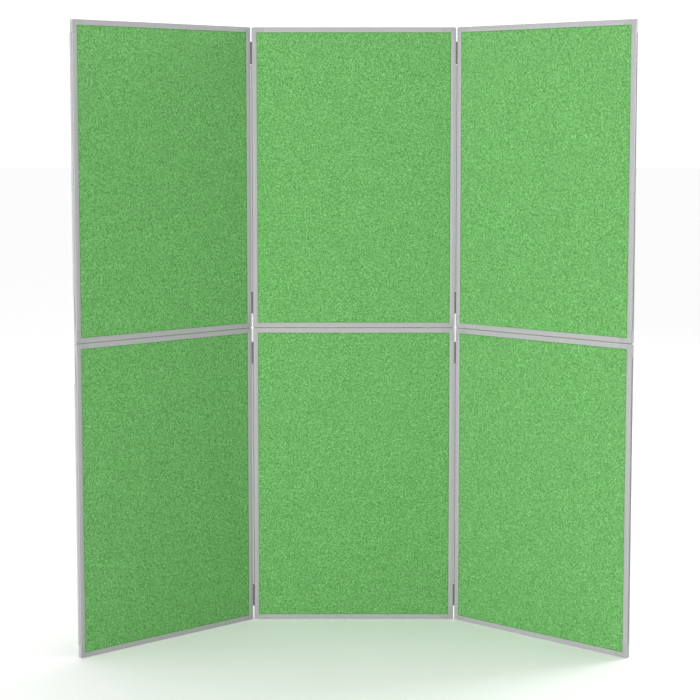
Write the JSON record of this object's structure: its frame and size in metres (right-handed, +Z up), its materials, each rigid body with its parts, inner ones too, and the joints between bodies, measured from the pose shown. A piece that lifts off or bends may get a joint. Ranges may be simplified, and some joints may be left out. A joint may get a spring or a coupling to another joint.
{
  "type": "folding display screen",
  "caption": "Free-standing folding screen of framed fabric boards: the side columns fold forward or back and the upper row folds down. A display wall or plain backdrop.",
  "frame": {"origin": "middle of the standing footprint's bounding box, on the floor", "axes": "+X to the right seen from the front, +Y from the front to the back, +Z up"},
  "size_m": [1.573, 0.41, 1.8068],
  "materials": {
    "loop_cloth": "green brushed loop nylon",
    "board_foam": "cut rigid foam board",
    "frame_profile": "satin grey extruded plastic",
    "corner_moulding": "fine satin moulded plastic",
    "seal_strip": "soft matt grey strip",
    "hinge_nylon": "dark grey moulded nylon",
    "hinge_pin": "drawn steel wire"
  },
  "bodies": {
    "lower_centre": {"lower_centre_back_fabric": "loop_cloth", "lower_centre_board_core": "board_foam", "lower_centre_corner_pieces": "corner_moulding", "lower_centre_front_fabric": "loop_cloth", "lower_centre_hinge_leaves": "hinge_nylon", "lower_centre_rails": "frame_profile", "lower_centre_seal_strip": "seal_strip", "lower_centre_stiles": "frame_profile", "mid_hinge_lower_leaves": "hinge_nylon", "mid_hinge_pins": "hinge_pin"},
    "upper_centre": {"mid_hinge_upper_leaves": "hinge_nylon", "upper_centre_back_fabric": "loop_cloth", "upper_centre_board_core": "board_foam", "upper_centre_corner_pieces": "corner_moulding", "upper_centre_front_fabric": "loop_cloth", "upper_centre_hinge_leaves": "hinge_nylon", "upper_centre_rails": "frame_profile", "upper_centre_seal_strip": "seal_strip", "upper_centre_stiles": "frame_profile"},
    "lower_left_links": {"lower_left_hinge_links": "hinge_nylon", "lower_left_hinge_pins": "hinge_pin"},
    "lower_left_wing": {"lower_left_back_fabric": "loop_cloth", "lower_left_board_core": "board_foam", "lower_left_corner_pieces": "corner_moulding", "lower_left_front_fabric": "loop_cloth", "lower_left_hinge_leaves": "hinge_nylon", "lower_left_rails": "frame_profile", "lower_left_seal_strip": "seal_strip", "lower_left_stiles": "frame_profile"},
    "lower_right_links": {"lower_right_hinge_links": "hinge_nylon", "lower_right_hinge_pins": "hinge_pin"},
    "lower_right_wing": {"lower_right_back_fabric": "loop_cloth", "lower_right_board_core": "board_foam", "lower_right_corner_pieces": "corner_moulding", "lower_right_front_fabric": "loop_cloth", "lower_right_hinge_leaves": "hinge_nylon", "lower_right_rails": "frame_profile", "lower_right_seal_strip": "seal_strip", "lower_right_stiles": "frame_profile"},
    "upper_left_links": {"upper_left_hinge_links": "hinge_nylon", "upper_left_hinge_pins": "hinge_pin"},
    "upper_left_wing": {"upper_left_back_fabric": "loop_cloth", "upper_left_board_core": "board_foam", "upper_left_corner_pieces": "corner_moulding", "upper_left_front_fabric": "loop_cloth", "upper_left_hinge_leaves": "hinge_nylon", "upper_left_rails": "frame_profile", "upper_left_seal_strip": "seal_strip", "upper_left_stiles": "frame_profile"},
    "upper_right_links": {"upper_right_hinge_links": "hinge_nylon", "upper_right_hinge_pins": "hinge_pin"},
    "upper_right_wing": {"upper_right_back_fabric": "loop_cloth", "upper_right_board_core": "board_foam", "upper_right_corner_pieces": "corner_moulding", "upper_right_front_fabric": "loop_cloth", "upper_right_hinge_leaves": "hinge_nylon", "upper_right_rails": "frame_profile", "upper_right_seal_strip": "seal_strip", "upper_right_stiles": "frame_profile"}
  },
  "joints": [
    {"name": "upper_row_fold", "type": "hinge", "parent": "lower_centre", "child": "upper_centre", "pos_m": [0.00038, 0.20301, 0.9034], "axis": [-1, 0, 0], "range_deg": [0, 180]},
    {"name": "lower_left_fold_forward", "type": "hinge", "parent": "lower_centre", "child": "lower_left_links", "pos_m": [-0.30682, 0.18761, 0.4515], "axis": [0, 0, 1], "range_deg": [-40, 140]},
    {"name": "lower_left_fold_back", "type": "hinge", "parent": "lower_left_links", "child": "lower_left_wing", "pos_m": [-0.31736, 0.20018, 0.4515], "axis": [0, 0, -1], "range_deg": [0, 180]},
    {"name": "lower_right_fold_forward", "type": "hinge", "parent": "lower_centre", "child": "lower_right_links", "pos_m": [0.30758, 0.18761, 0.4515], "axis": [0, 0, -1], "range_deg": [-40, 140]},
    {"name": "lower_right_fold_back", "type": "hinge", "parent": "lower_right_links", "child": "lower_right_wing", "pos_m": [0.31812, 0.20018, 0.4515], "axis": [0, 0, 1], "range_deg": [0, 180]},
    {"name": "upper_left_fold_forward", "type": "hinge", "parent": "upper_centre", "child": "upper_left_links", "pos_m": [-0.30682, 0.18761, 1.3553], "axis": [0, 0, 1], "range_deg": [-40, 140]},
    {"name": "upper_left_fold_back", "type": "hinge", "parent": "upper_left_links", "child": "upper_left_wing", "pos_m": [-0.31736, 0.20018, 1.3553], "axis": [0, 0, -1], "range_deg": [0, 180]},
    {"name": "upper_right_fold_forward", "type": "hinge", "parent": "upper_centre", "child": "upper_right_links", "pos_m": [0.30758, 0.18761, 1.3553], "axis": [0, 0, -1], "range_deg": [-40, 140]},
    {"name": "upper_right_fold_back", "type": "hinge", "parent": "upper_right_links", "child": "upper_right_wing", "pos_m": [0.31812, 0.20018, 1.3553], "axis": [0, 0, 1], "range_deg": [0, 180]}
  ]
}
